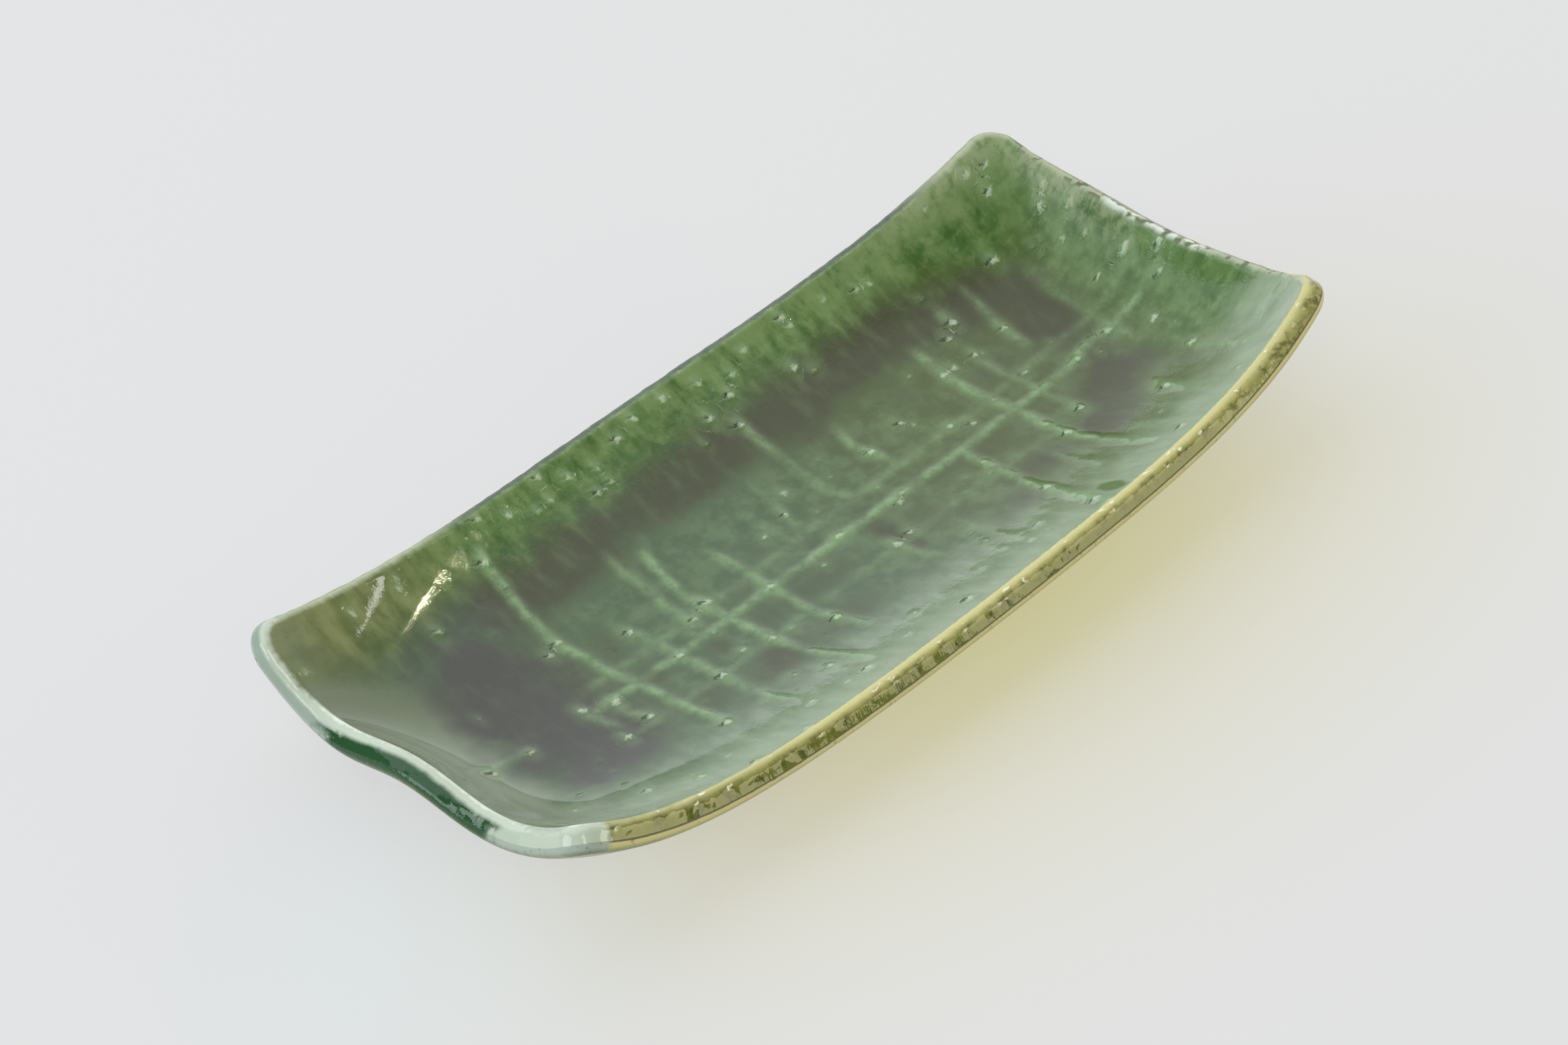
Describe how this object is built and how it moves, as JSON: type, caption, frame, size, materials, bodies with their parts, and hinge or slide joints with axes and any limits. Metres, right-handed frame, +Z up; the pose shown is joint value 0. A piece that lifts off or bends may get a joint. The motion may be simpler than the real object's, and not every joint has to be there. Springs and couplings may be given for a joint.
{
  "type": "rectangular plate",
  "caption": "Long shallow rectangular serving plate of glazed stoneware with turned-up sides and ends, a raised centre rib and low foot pads.",
  "frame": {"origin": "on the table under the middle of the plate's outline", "axes": "+Z up out of the dish, +X along the plate, towards the end that bows out, +Y across it"},
  "size_m": [0.2938, 0.1374, 0.0454],
  "materials": {
    "stoneware": null,
    "face_glaze": "opaque glossy copper-green glaze, paler where it runs thin over ridges and the rim",
    "back_glaze": "opaque glossy copper-green glaze, thinner and browner than on the face"
  },
  "bodies": {
    "root": {"slab_body": "stoneware", "glaze_face": "face_glaze", "glaze_back": "back_glaze", "foot_near_left": "stoneware", "foot_near_right": "stoneware", "foot_far_left": "stoneware", "foot_far_right": "stoneware"}
  },
  "joints": []
}
